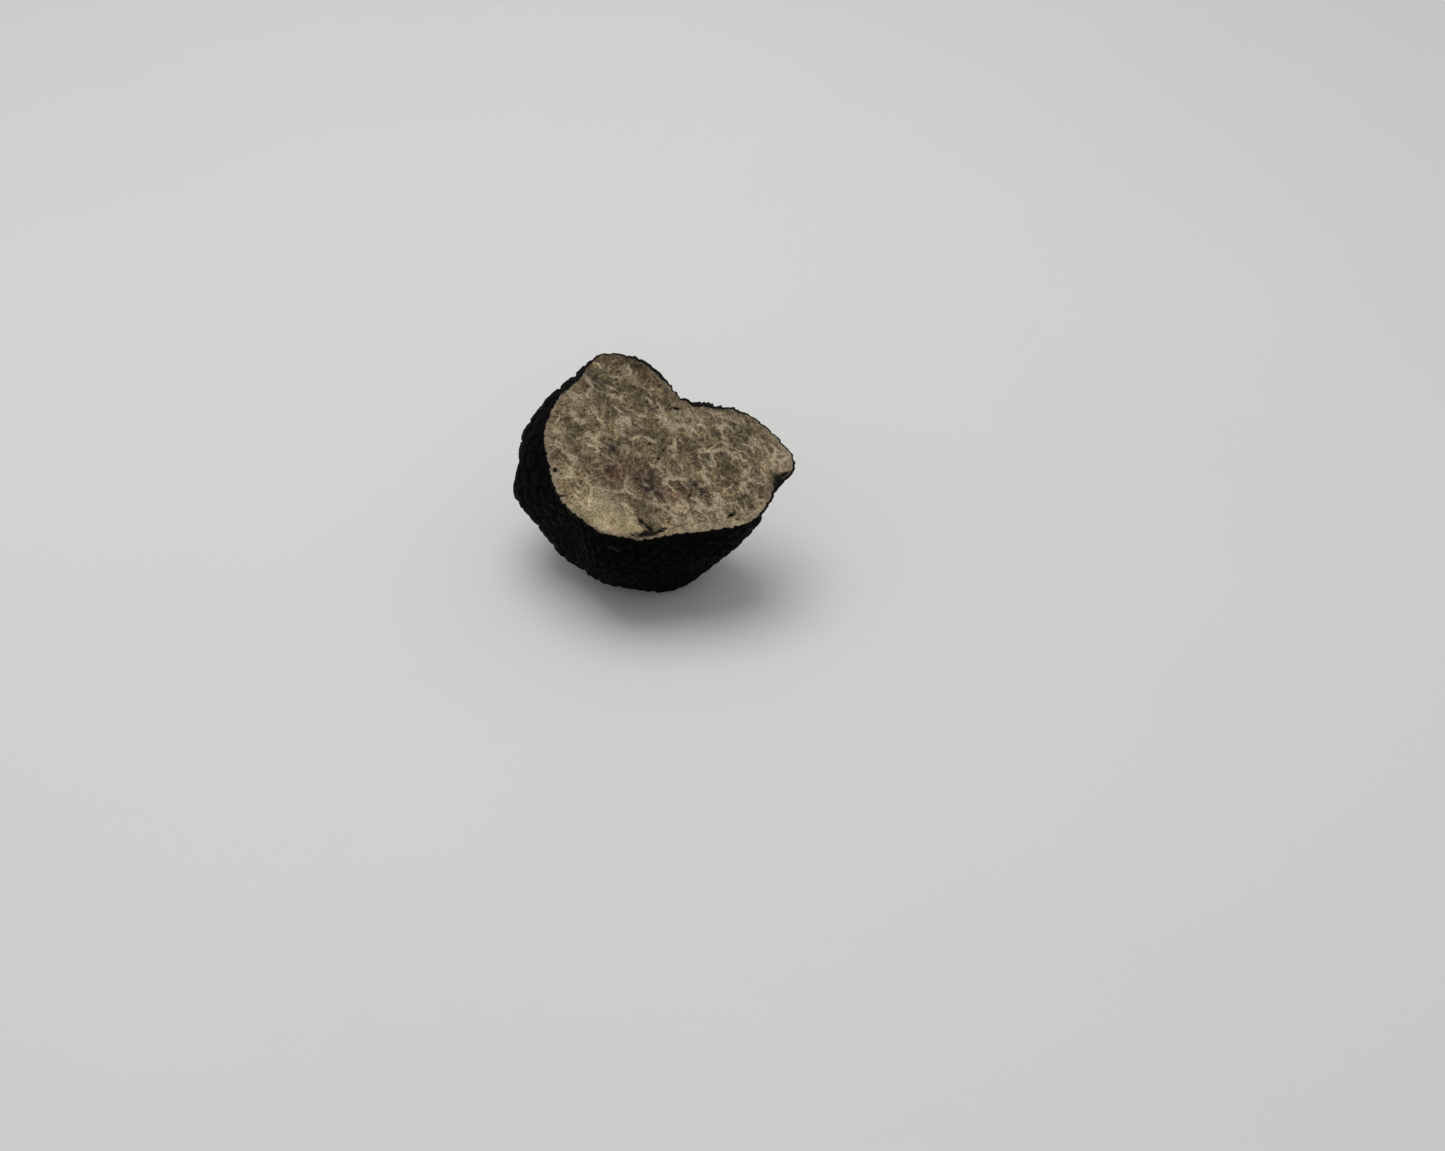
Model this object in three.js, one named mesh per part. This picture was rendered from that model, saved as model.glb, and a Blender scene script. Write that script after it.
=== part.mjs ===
// Half of a black truffle, as left by one straight knife cut. It is one solid: a lumpy, warty
// body that rests on a small worn flat, and a flat heart-shaped cut face that tilts to the front.
//
// Millimetres, +Z up, +X to the right, -Y to the front. The origin is on the surface that the
// truffle rests on, under the middle of its bounding box.
import * as THREE from "three";

// The cut face: where its centre is, and how far it leans to the front.
const CUT_CENTRE = new THREE.Vector3(0.99, -2.63, 22);
const CUT_TILT_DEG = 23;
const SLOPE_GONE_DEG = 75; // this far below the rim, the body no longer follows the cut's slope

// The rim of the cut, from the right tip round by the notch: right, and up the slope, of CUT_CENTRE.
const RIM = [
  [19.6, -1.2], // right tip
  [16.4, 3.9],
  [12.2, 7.4], // shoulder of the right lobe
  [6.8, 8.6],
  [3.0, 9.8], // floor of the notch
  [1.0, 12.8],
  [-2.6, 16.1],
  [-7.4, 17.2], // top of the upper lobe
  [-9.9, 15.9],
  [-11.6, 12.6], // waist under the upper lobe
  [-14.6, 9.9],
  [-16.4, 4.0], // left edge
  [-15.6, -1.2],
  [-14.6, -5.0],
  [-12.7, -8.1],
  [-8.2, -11.9],
  [-4.3, -12.9],
  [-1.9, -13.2], // lowest point
  [3.0, -12.3],
  [8.4, -11.6],
  [13.3, -10.3],
  [15.9, -7.5],
  [16.9, -5.2],
];

// The body under the cut: its depth, and how the line to its deepest point leans from the vertical.
const BODY_DEPTH = 24.1;
const LEAN_RIGHT = -0.165;
const LEAN_BACK = 0.075;
const WALL_POWER = 1.1; // above 1, the walls close in sooner than on a ball
const NOTCH_FADE_DEG = 50; // how far below the rim the notch has healed over
const SMOOTHING_DEG = 26; // reach of the average that heals it

// How far the body swells out past the rim, by bearing from the right: bearing, reach, millimetres.
const SWELL_DROP_DEG = 27; // how far below the rim it swells most
const SWELL_ALL_ROUND = 0.95;
const SWELLS = [
  [166, 46, 4.1], // the big left flank
  [350, 60, -3.4], // the right side is cut past its widest, so it narrows at once
  [131, 38, 2.4], // behind the waist
  [211, 37, -2.1],
];

// Low lumps all over the body, as waves with seeded directions.
const LUMP_COUNT = 7;
const LUMP_LENGTH = 15;
const LUMP_HEIGHT = 0.34;
const LUMP_START_DEG = 4;
const LUMP_FULL_DEG = 26;

// Warts: low many-sided scales with a furrow between neighbours.
const WART_COUNT = 1180; // over a whole truffle, of which the cut leaves about half
const WART_JITTER = 0.55;
const WART_HEIGHT = 0.28;
const WART_PEAK = 0.16;
const RIM_SHARE = 0.35; // of the relief is left where the knife went through
const RIM_REACH_DEG = 4;
const FURROW_WIDTH = 0.5;
const SEED = 20817;

const ROWS = 52; // triangles along each quarter of the rim
const STEPS_PER_RIM_POINT = 24;
const DEG = Math.PI / 180;

// Random numbers from 0 to 1 that are the same on every run.
function randomFrom(seed) {
  let state = seed >>> 0;
  return () => {
    state = (state + 0x6d2b79f5) >>> 0;
    let t = state;
    t = Math.imul(t ^ (t >>> 15), t | 1);
    t ^= t + Math.imul(t ^ (t >>> 7), t | 61);
    return ((t ^ (t >>> 14)) >>> 0) / 4294967296;
  };
}

const clamp01 = (v) => Math.min(1, Math.max(0, v));
const smooth = (v) => clamp01(v) ** 2 * (3 - 2 * clamp01(v));

// The rim's radius for every degree of bearing, from a closed smooth curve through RIM.
function rimRadii() {
  const curve = new THREE.CatmullRomCurve3(
    RIM.map(([right, up]) => new THREE.Vector3(right, up, 0)),
    true,
    "catmullrom",
    0.5,
  );
  const ring = [];
  const steps = RIM.length * STEPS_PER_RIM_POINT;
  for (let i = 0; i < steps; i++) {
    const p = curve.getPoint(i / steps);
    ring.push([(Math.atan2(p.y, p.x) / DEG + 360) % 360, Math.hypot(p.x, p.y)]);
  }
  ring.sort((a, b) => a[0] - b[0]);
  const [first, last] = [ring[0], ring[ring.length - 1]];
  ring.unshift([last[0] - 360, last[1]]);
  ring.push([first[0] + 360, first[1]]);
  const radii = [];
  for (let bearing = 0, k = 0; bearing < 360; bearing++) {
    while (ring[k + 1][0] < bearing) k++;
    const [b0, r0] = ring[k];
    const [b1, r1] = ring[k + 1];
    radii.push(r0 + ((r1 - r0) * (bearing - b0)) / Math.max(b1 - b0, 1e-9));
  }
  return radii;
}

// The same radii averaged over SMOOTHING_DEG to each side: the outline without its notch.
function healedRadii(radii) {
  return radii.map((_, bearing) => {
    let sum = 0;
    let weights = 0;
    for (let k = -SMOOTHING_DEG; k <= SMOOTHING_DEG; k++) {
      const weight = 1 + Math.cos((Math.PI * k) / (SMOOTHING_DEG + 1));
      sum += weight * radii[(bearing + k + 360) % 360];
      weights += weight;
    }
    return sum / weights;
  });
}

const radii = rimRadii();
const healed = healedRadii(radii);

function at(list, bearing) {
  const whole = Math.floor(bearing);
  const share = bearing - whole;
  return list[whole % 360] * (1 - share) + list[(whole + 1) % 360] * share;
}

function swell(bearing) {
  let sum = SWELL_ALL_ROUND;
  for (const [middle, reach, height] of SWELLS) {
    const off = Math.abs(((bearing - middle + 540) % 360) - 180);
    if (off < reach) sum += (height * (1 + Math.cos((Math.PI * off) / reach))) / 2;
  }
  return sum;
}

const RIGHT = new THREE.Vector3(1, 0, 0);
const DOWN = new THREE.Vector3(LEAN_RIGHT, LEAN_BACK, -1).normalize();

// The way up the cut's slope, which dies out down the body.
function upSlope(drop) {
  const tilt = CUT_TILT_DEG * DEG * (1 - smooth(drop / SLOPE_GONE_DEG));
  return new THREE.Vector3(0, Math.cos(tilt), Math.sin(tilt));
}

// A direction of the unit sphere as bearing and angle below the cut, both in degrees.
function bearingAndDrop(d) {
  return [(Math.atan2(d.y, d.x) / DEG + 360) % 360, Math.asin(clamp01(-d.z)) / DEG];
}

// The way out of the body for a direction of the unit sphere. At the rim it lies in the cut face.
function wayOut(d, drop) {
  return new THREE.Vector3()
    .addScaledVector(RIGHT, d.x)
    .addScaledVector(upSlope(drop), d.y)
    .addScaledVector(DOWN, Math.max(0, -d.z))
    .normalize();
}

// Where the smooth body's surface is for a direction of the unit sphere.
function smoothBody(d) {
  const [bearing, drop] = bearingAndDrop(d);
  const fade = smooth(drop / NOTCH_FADE_DEG);
  const radius = at(radii, bearing) * (1 - fade) + at(healed, bearing) * fade;
  const swelling = (drop / SWELL_DROP_DEG) * Math.exp(1 - drop / SWELL_DROP_DEG);
  const closing = Math.cos(drop * DEG);
  const reach = radius * closing ** WALL_POWER + swell(bearing) * swelling * closing;
  const across = Math.hypot(d.x, d.y) || 1;
  return CUT_CENTRE.clone()
    .addScaledVector(RIGHT, (reach * d.x) / across)
    .addScaledVector(upSlope(drop), (reach * d.y) / across)
    .addScaledVector(DOWN, BODY_DEPTH * Math.sin(drop * DEG));
}

const random = randomFrom(SEED);

const lumps = Array.from({ length: LUMP_COUNT }, () => {
  const turn = 2 * Math.PI * random();
  const rise = 2 * random() - 1;
  const level = Math.sqrt(1 - rise * rise);
  const pace = (2 * Math.PI) / (LUMP_LENGTH * (0.7 + 0.6 * random()));
  const phase = 2 * Math.PI * random();
  const way = new THREE.Vector3(level * Math.cos(turn), level * Math.sin(turn), rise);
  return { way: way.multiplyScalar(pace), phase };
});

function lumpHeight(point, drop) {
  const share = smooth((drop - LUMP_START_DEG) / (LUMP_FULL_DEG - LUMP_START_DEG));
  return share * LUMP_HEIGHT * lumps.reduce((sum, l) => sum + Math.sin(l.way.dot(point) + l.phase), 0);
}

// The middles of the warts, spread evenly round the body by a spiral and then shaken a little.
function wartMiddles() {
  const golden = Math.PI * (3 - Math.sqrt(5));
  const shake = WART_JITTER * Math.sqrt((4 * Math.PI) / WART_COUNT);
  const middles = [];
  for (let i = 0; i < WART_COUNT; i++) {
    const z = 1 - (2 * (i + 0.5)) / WART_COUNT;
    const level = Math.sqrt(1 - z * z);
    const d = new THREE.Vector3(level * Math.cos(golden * i), level * Math.sin(golden * i), z);
    d.x += shake * (random() - 0.5);
    d.y += shake * (random() - 0.5);
    d.z += shake * (random() - 0.5);
    d.normalize();
    if (d.z < shake) middles.push(smoothBody(d));
  }
  return middles;
}

const warts = wartMiddles();

// A wart's height at a point of the smooth body: a furrow at the line halfway to the next wart.
function wartHeight(point) {
  let [near, next] = [null, null];
  let [nearSq, nextSq] = [Infinity, Infinity];
  for (const middle of warts) {
    const sq = middle.distanceToSquared(point);
    if (sq < nearSq) {
      [next, nextSq] = [near, nearSq];
      [near, nearSq] = [middle, sq];
    } else if (sq < nextSq) {
      [next, nextSq] = [middle, sq];
    }
  }
  const apart = near.distanceTo(next);
  const toFurrow = (nextSq - nearSq) / (2 * apart);
  const peak = WART_PEAK * (1 - Math.sqrt(nearSq) / apart);
  return (WART_HEIGHT + peak) * smooth(toFurrow / FURROW_WIDTH) - WART_HEIGHT / 2;
}

// The finished surface: lumps and warts on the smooth body, worn flat where it rests.
function surface(d) {
  const point = smoothBody(d);
  const [, drop] = bearingAndDrop(d);
  const share = RIM_SHARE + (1 - RIM_SHARE) * smooth(drop / RIM_REACH_DEG);
  point.addScaledVector(wayOut(d, drop), share * wartHeight(point) + lumpHeight(point, drop));
  if (point.z < 0) point.z = 0;
  return point;
}

// The body is the lower half of an octahedron, finely divided and carried to the surface.
// Row 0 is the rim, and the last row is the deepest point.
const CORNERS = [
  [1, 0],
  [0, 1],
  [-1, 0],
  [0, -1],
];

function rowDirections(row) {
  const perSide = ROWS - row;
  if (perSide === 0) return [new THREE.Vector3(0, 0, -1)];
  const directions = [];
  CORNERS.forEach(([x, y], side) => {
    const [nextX, nextY] = CORNERS[(side + 1) % CORNERS.length];
    for (let k = 0; k < perSide; k++) {
      const rest = perSide - k;
      directions.push(new THREE.Vector3(x * rest + nextX * k, y * rest + nextY * k, -row).normalize());
    }
  });
  return directions;
}

// The triangles between a row of 4 n points from start and the row of 4 (n - 1) points after it.
function rowTriangles(start, n) {
  const below = start + 4 * n;
  const triangles = [];
  for (let side = 0; side < 4; side++) {
    for (let k = 0; k < n; k++) {
      const a = start + side * n + k;
      const b = start + ((side * n + k + 1) % (4 * n));
      const c = below + (n > 1 ? (side * (n - 1) + k) % (4 * (n - 1)) : 0);
      triangles.push(a, c, b);
      if (k > 0) triangles.push(a, below + side * (n - 1) + k - 1, c);
    }
  }
  return triangles;
}

// The cut face: the rim, seen square to the cut, filled with triangles.
function cutTriangles(rim) {
  const flat = rim.map((point) => {
    const off = point.clone().sub(CUT_CENTRE);
    return new THREE.Vector2(off.dot(RIGHT), off.dot(upSlope(0)));
  });
  return THREE.ShapeUtils.triangulateShape(flat, []).flat();
}

function truffleGeometry() {
  const points = [];
  const triangles = [];
  for (let row = 0; row <= ROWS; row++) {
    if (row < ROWS) triangles.push(...rowTriangles(points.length, ROWS - row));
    points.push(...rowDirections(row).map(surface));
  }
  triangles.push(...cutTriangles(points.slice(0, 4 * ROWS)));
  const geometry = new THREE.BufferGeometry().setFromPoints(points);
  geometry.setIndex(triangles);
  geometry.computeVertexNormals();
  return geometry;
}

const flesh = new THREE.MeshStandardMaterial({ color: 0x6f6350, roughness: 0.75, metalness: 0 });
const truffle = new THREE.Mesh(truffleGeometry(), flesh);
truffle.name = "truffle";

const group = new THREE.Group();
group.add(truffle);
export default group;
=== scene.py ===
"""Half of a black truffle, finished: fine warty rind, veined cut face, pale floor and soft light.

Shapes are worked out in millimetres, in the frame's own axes, and become metres in new_mesh.
The body repeats the solid's own numbers, and the fine relief is laid on top of it.
"""

import math

import bpy
import numpy as np
from mathutils import Matrix, Vector, kdtree


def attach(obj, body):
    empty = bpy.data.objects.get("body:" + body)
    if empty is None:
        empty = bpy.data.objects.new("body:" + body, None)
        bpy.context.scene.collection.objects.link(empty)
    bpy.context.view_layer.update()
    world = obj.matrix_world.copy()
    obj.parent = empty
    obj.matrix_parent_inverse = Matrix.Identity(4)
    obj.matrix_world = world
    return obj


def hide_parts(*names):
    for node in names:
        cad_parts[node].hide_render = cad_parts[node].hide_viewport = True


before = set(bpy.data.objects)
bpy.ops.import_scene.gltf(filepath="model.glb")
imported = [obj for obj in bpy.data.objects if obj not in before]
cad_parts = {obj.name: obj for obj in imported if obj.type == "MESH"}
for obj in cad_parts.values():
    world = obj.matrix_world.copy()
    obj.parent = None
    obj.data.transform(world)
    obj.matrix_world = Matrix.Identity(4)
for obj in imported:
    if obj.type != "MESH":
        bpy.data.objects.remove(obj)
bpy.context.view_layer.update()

MM = 0.001

# The cut face: where its centre is, and how far it leans to the front.
CUT_CENTRE = np.array([0.99, -2.63, 22.0])
CUT_TILT = math.radians(23)
SLOPE_GONE_DEG = 75

# The rim of the cut, from the right tip round by the notch: right, and up the slope, of CUT_CENTRE.
RIM = [
    (19.6, -1.2), (16.4, 3.9), (12.2, 7.4), (6.8, 8.6), (3.0, 9.8), (1.0, 12.8), (-2.6, 16.1),
    (-7.4, 17.2), (-9.9, 15.9), (-11.6, 12.6), (-14.6, 9.9), (-16.4, 4.0), (-15.6, -1.2),
    (-14.6, -5.0), (-12.7, -8.1), (-8.2, -11.9), (-4.3, -12.9), (-1.9, -13.2), (3.0, -12.3),
    (8.4, -11.6), (13.3, -10.3), (15.9, -7.5), (16.9, -5.2),
]
STEPS_PER_RIM_POINT = 24

# The body under the cut.
BODY_DEPTH = 24.1
LEAN_RIGHT = -0.165
LEAN_BACK = 0.075
WALL_POWER = 1.1
NOTCH_FADE_DEG = 50
SMOOTHING_DEG = 26
SWELL_DROP_DEG = 27
SWELL_ALL_ROUND = 0.95
SWELLS = [(166, 46, 4.1), (350, 60, -3.4), (131, 38, 2.4), (211, 37, -2.1)]

# Lumps and warts, drawn from the same seed as the solid's.
SEED = 20817
LUMP_COUNT = 7
LUMP_LENGTH = 15
LUMP_HEIGHT = 0.34
LUMP_START_DEG = 4
LUMP_FULL_DEG = 26
WART_COUNT = 1180
WART_JITTER = 0.55
WART_HEIGHT = 0.28
WART_PEAK = 0.16
RIM_SHARE = 0.35
RIM_REACH_DEG = 4
FURROW_WIDTH = 0.5

# Slight swells and hollows on the left, left out of the solid: bearing and drop in degrees, height.
SLIGHT_SWELLS = [(133, 5, 0.65), (147, 8, -0.3), (168, 15, -0.95), (178, 23, 0.4), (186, 39, -0.25)]
SLIGHT_REACH_DEG = 6

# Fine relief of the rind, which only this surface has.
CRACK_WIDTH = 0.26  # of the furrow's narrow floor
CRACK_DEPTH = 0.12
SCALE_COUNT = 9500  # small scales that the warts are broken into
SCALE_HEIGHT = 0.12
SCALE_FURROW = 0.20
GRAIN_HEIGHT = 0.05
GRAIN_SIZE = 0.45
RAG_HEIGHT = 0.10  # how ragged the rim is
RAG_SIZE = 0.8
RAG_REACH_DEG = 7

# Crumbs of rind left standing along the rim: bearings from and to, how many, height.
CRUMB_RUNS = [(36, 76, 26, 0.8), (76, 106, 14, 0.55), (300, 375, 16, 0.35), (110, 300, 30, 0.18)]
CRUMB_RADIUS = 0.34

ROWS = 155  # triangles along each quarter of the rim

# The flesh's edge all round, by bearing: how wide the rind shows edge on, then how brown
# and how pale the flesh is just inside it.
EDGE = [
    (0, 0.22, 0.1, 0.9), (14, 0.24, 0.2, 0.5), (26, 0.26, 0.5, 0.2), (40, 0.40, 0.9, 0.1),
    (48, 0.74, 0.9, 0.1), (58, 0.74, 0.8, 0.1), (66, 0.28, 0.6, 0.2), (74, 0.16, 0.5, 0.3),
    (82, 0.24, 0.6, 0.2), (92, 0.62, 0.7, 0.1), (102, 0.52, 0.8, 0.0), (112, 0.26, 0.7, 0.0),
    (125, 0.28, 0.3, 0.1), (140, 0.24, 0.2, 0.3),
    (165, 0.12, 0.2, 0.5), (185, 0.12, 0.3, 0.8), (205, 0.14, 0.3, 0.9), (222, 0.16, 0.5, 0.7),
    (240, 0.16, 0.7, 0.4), (255, 0.12, 0.4, 0.5), (268, 0.12, 0.4, 0.6), (280, 0.12, 0.2, 0.8),
    (300, 0.12, 0.1, 0.9), (322, 0.14, 0.1, 0.9), (338, 0.40, 0.4, 0.5), (348, 0.42, 0.5, 0.4),
]
BROWN_REACH = 0.9
PALE_REACH = 1.3

# Marks on the cut face: right, up the slope, half length, half width, turn in degrees.
PITS = [
    (-1.2, 2.1, 0.26, 0.16, 10), (0.8, 1.1, 0.24, 0.12, 60), (0.1, -0.3, 0.22, 0.15, 0),
    (2.5, 7.9, 0.42, 0.20, -15), (10.5, -9.3, 0.62, 0.22, 38), (4.5, -6.3, 0.42, 0.16, 62),
    (-14.6, -2.1, 0.36, 0.24, 40), (-13.5, -6.2, 0.65, 0.12, -4), (9.4, 6.8, 0.16, 0.12, 0),
    (11.2, -9.9, 0.22, 0.14, 0), (1.7, -10.4, 0.16, 0.12, 0), (13.4, 0.2, 0.14, 0.10, 0),
]
CRACKS = [
    (17.4, -3.9, 1.3, 0.62, -62), (16.9, -4.8, 0.9, 0.5, -75), (17.9, -2.9, 0.7, 0.28, 20),
    (-2.2, -10.3, 0.45, 0.22, -42), (-1.5, -10.9, 0.75, 0.12, -42), (-0.8, -11.5, 0.8, 0.28, -38),
    (-1.4, -12.2, 1.7, 0.5, 8), (-3.4, -12.3, 0.5, 0.14, -35), (1.1, -11.4, 0.42, 0.22, 10),
    (0.4, -11.9, 0.8, 0.14, 12),
]
SMUDGES = [
    (17.2, -3.9, 1.4, 0.8, -62), (-4.8, 16.0, 0.75, 0.42, -20), (12.6, 5.8, 0.4, 0.25, -45),
    (-3.6, 15.5, 1.7, 0.5, -32), (0.2, 11.6, 0.42, 0.32, 0), (-9.4, 13.0, 0.5, 0.3, 60),
    (-0.9, -5.2, 0.75, 0.5, 0), (-1.1, -2.7, 0.55, 0.4, 0), (-2.0, -3.9, 1.0, 0.35, -30),
    (5.3, -4.4, 0.55, 0.35, 20), (7.1, -5.5, 0.6, 0.4, 0), (3.2, -5.3, 0.4, 0.3, 0),
    (-6.3, 1.4, 0.7, 0.4, -50), (-7.0, -2.0, 0.5, 0.35, 20), (-0.2, -6.2, 0.8, 0.35, -20),
    (4.0, 8.2, 0.5, 0.2, 0), (9.2, 7.6, 1.2, 0.25, -14), (11.9, 5.0, 0.6, 0.35, -45),
    (13.0, 3.9, 0.5, 0.3, -45),
]
STREAKS = [
    (9.9, 5.0, 1.5, 0.16, -46), (11.7, 5.2, 0.8, 0.12, -53), (13.7, 2.3, 2.2, 0.11, -52),
    (13.9, 1.6, 1.0, 0.14, -45), (13.3, -3.6, 0.9, 0.15, -54), (14.5, -4.5, 0.7, 0.16, -17),
    (-7.0, 11.5, 0.7, 0.22, -42), (-5.5, 7.7, 1.4, 0.13, -32), (-3.8, 7.4, 1.2, 0.12, -45),
    (-3.3, 3.1, 0.8, 0.28, 16), (1.6, 6.0, 1.0, 0.14, 17), (2.9, 5.1, 1.3, 0.16, 7),
    (6.4, -9.1, 1.9, 0.14, -45), (1.0, -11.0, 0.6, 0.13, -70), (-4.5, -8.0, 0.8, 0.18, -18),
    (-2.7, 4.9, 0.7, 0.15, -48), (3.5, -4.5, 1.1, 0.14, -47), (6.9, -1.4, 0.9, 0.18, -54),
    (9.7, 2.1, 0.8, 0.24, -47), (0.4, -7.5, 1.4, 0.14, -8), (-14.7, 6.4, 1.4, 0.22, 62),
    (-11.5, -5.7, 0.7, 0.2, -39), (-12.7, -2.9, 1.0, 0.14, 55), (-7.9, 2.1, 1.0, 0.16, -39),
    (-9.3, 7.7, 1.0, 0.14, -57), (5.3, 4.6, 1.2, 0.24, -60), (7.2, 4.4, 1.3, 0.13, -62),
    (-1.6, 9.0, 0.9, 0.18, -40), (15.6, 1.0, 1.2, 0.13, -60), (14.9, -8.0, 0.9, 0.18, -30),
    (8.7, -7.4, 0.9, 0.15, -60), (11.9, -7.9, 0.9, 0.18, -58), (-15.4, 2.2, 0.8, 0.18, -50),
    (-4.0, -5.4, 1.0, 0.12, -30), (-9.0, -3.6, 1.1, 0.11, 35),
]

# Stains in the flesh: right, up the slope, half length, half width, turn, colour name, strength.
STAINS = [
    (-6.0, 12.8, 4.8, 4.4, 0, "lobe", 0.85), (-12.4, 4.4, 3.6, 4.4, 0, "olive", 0.9),
    (-3.5, -1.5, 5.8, 3.6, -25, "mauve", 0.8), (1.5, -6.0, 4.8, 2.6, -10, "mauve", 0.7),
    (-8.6, 6.0, 4.6, 3.6, 20, "olive", 0.55), (0.8, 2.0, 3.6, 2.8, 20, "olive", 0.7),
    (11.6, 5.0, 3.6, 1.8, -38, "olive", 1.0),
    (9.4, 0.6, 4.6, 2.8, -30, "olive", 0.7), (13.4, -6.6, 2.4, 1.6, 20, "olive", 0.5),
    (-7.6, -9.0, 4.4, 2.8, -30, "yellow", 1.0), (-6.4, -10.4, 3.6, 1.9, -28, "cream", 1.0),
    (-4.4, -11.2, 2.4, 1.2, -10, "cream", 0.9),
    (-11.0, -7.2, 2.2, 1.2, -40, "yellow", 0.35), (-13.0, -3.0, 0.9, 2.0, 20, "yellow", 0.5),
    (5.0, 7.1, 2.6, 1.3, -20, "tan", 0.8), (8.2, 7.4, 2.2, 0.8, -12, "tan", 0.6),
    (2.4, 5.2, 2.0, 1.0, 0, "tan", 0.7), (15.0, -3.7, 2.2, 1.5, -30, "tan", 0.8),
    (7.4, -10.2, 5.4, 1.5, 8, "tan", 0.85), (17.4, -0.8, 1.8, 1.3, 0, "tan", 0.7),
    (-1.1, -4.9, 2.4, 1.4, -10, "purple", 1.0), (-2.6, -3.6, 2.4, 1.0, -30, "purple", 0.95),
    (-1.1, -2.6, 0.9, 0.7, 0, "purple", 0.9), (-6.2, 1.3, 1.8, 1.1, -50, "purple", 0.85),
    (-6.8, -2.1, 1.3, 0.9, 0, "purple", 0.75), (3.2, -5.3, 0.9, 0.7, 20, "purple", 0.8),
    (5.3, -4.4, 0.9, 0.7, 20, "purple", 0.9), (7.1, -5.7, 1.3, 1.0, 0, "purple", 0.8),
    (-11.1, -0.5, 1.6, 1.1, 30, "purple", 0.6), (-6.2, -2.9, 1.6, 1.1, 30, "red", 0.5),
    (-4.4, 15.0, 3.0, 1.3, -28, "brown", 0.85), (-1.2, 12.8, 2.0, 0.9, -45, "brown", 0.6),
    (-9.7, 12.4, 1.8, 1.0, 60, "brown", 0.5), (-3.4, 7.6, 1.8, 1.3, 0, "brown", 0.45),
    (-6.1, -12.1, 0.7, 0.4, 0, "red", 0.7), (4.3, 1.2, 1.6, 0.9, -20, "brown", 0.4),
    (-14.4, 0.6, 1.0, 1.6, 0, "brown", 0.35), (11.0, -4.2, 1.6, 1.0, -30, "brown", 0.35),
]

# The one grey scuff on the rind: where it is, which way it runs, half its width, and the share
# of the distance along its way that isn't counted, which makes it long.
SCUFF_PLACE = (-5.1, -14.4, 15.0)
SCUFF_WAY = (0.87, -0.33, -0.37)
SCUFF_HALF_WIDTH = 0.42
SCUFF_STRETCH = 0.68

# Colours as they show in soft light, red, green and blue from 0 to 255.
SHOWN = {
    "tissue": (102, 88, 65),
    "vein": (192, 177, 149),
    "purple": (58, 40, 30),
    "mauve": (101, 80, 63),
    "red": (112, 73, 55),
    "yellow": (157, 143, 111),
    "cream": (171, 155, 118),
    "tan": (140, 124, 100),
    "brown": (60, 45, 31),
    "lobe": (80, 69, 48),
    "olive": (86, 76, 53),
    "smudge": (34, 22, 15),
    "edge": (166, 150, 124),
    "edge_brown": (66, 45, 33),
    # Near black painted shade for the pits and cracks of the cut, used for its dark specks too.
    "pit_shade": (10, 8, 6),
    # The rind's near black deep in its furrows is painted shade; then the colours of its tops.
    "rind_in_painted_shade": (1, 1, 1),
    "rind": (7, 7, 6),
    "rind_brown": (12, 10, 8),
    "scuff": (40, 41, 37),
    "floor": (205, 206, 204),
}
LIGHT_ON_CUT = 0.96  # light that falls on the cut, against a white card that would show as 255
LIGHT_ON_FLOOR = 0.80

# Relief of the cut face, in millimetres.
CUT_WAVE_HEIGHT = 0.09
CUT_WAVE_SIZE = 5.0
CUT_GRAIN_HEIGHT = 0.035
CUT_GRAIN_SIZE = 0.8
PIT_DEPTH = 0.34
CUT_CRACK_DEPTH = 0.32
STREAK_HEIGHT = 0.03
EDGE_FALL = 0.10  # where the knife dragged the cut's edge down
EDGE_FALL_REACH = 0.2

# How the flesh is drawn. Sizes are in millimetres. A wisp's width is a part of its noise's range.
VEIN_TURN = math.radians(48)
VEIN_STRETCH = (0.55, 1.0, 1.0)  # distance along the veins counts for less, so they are long
CELL_SIZE = 2.3
PATCH_SIZE = 2.8
BLOTCH_SIZE = 0.7
MOTTLE_SIZE = 0.42
FLESH_GRAIN_SIZE = 0.26
WISP_SIZE = 2.3
WISP_WIDTH = 0.060
NET_SIZE = 0.9
NET_WIDTH = 0.14
VEIN_CELL_SIZE = 3.4
VEIN_WIDTH = 0.34


def reflectance(name, light=LIGHT_ON_CUT):
    """A colour of SHOWN as the linear reflectance that shows it in that much light."""
    channels = [c / 255 for c in SHOWN[name]]
    linear = [c / 12.92 if c <= 0.04045 else ((c + 0.055) / 1.055) ** 2.4 for c in channels]
    return tuple(c / light for c in linear) + (1.0,)


# Numbers, noise and the random draws


def smooth(value):
    value = np.clip(value, 0, 1)
    return value * value * (3 - 2 * value)


def random_from(seed):
    """Draws from 0 to 1, the same as the solid's."""
    word = 0xFFFFFFFF
    state = seed

    def draw():
        nonlocal state
        state = (state + 0x6D2B79F5) & word
        t = state
        t = ((t ^ (t >> 15)) * (t | 1)) & word
        t ^= (t + (((t ^ (t >> 7)) * (t | 61)) & word)) & word
        return (t ^ (t >> 14)) / 4294967296

    return draw


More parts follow.
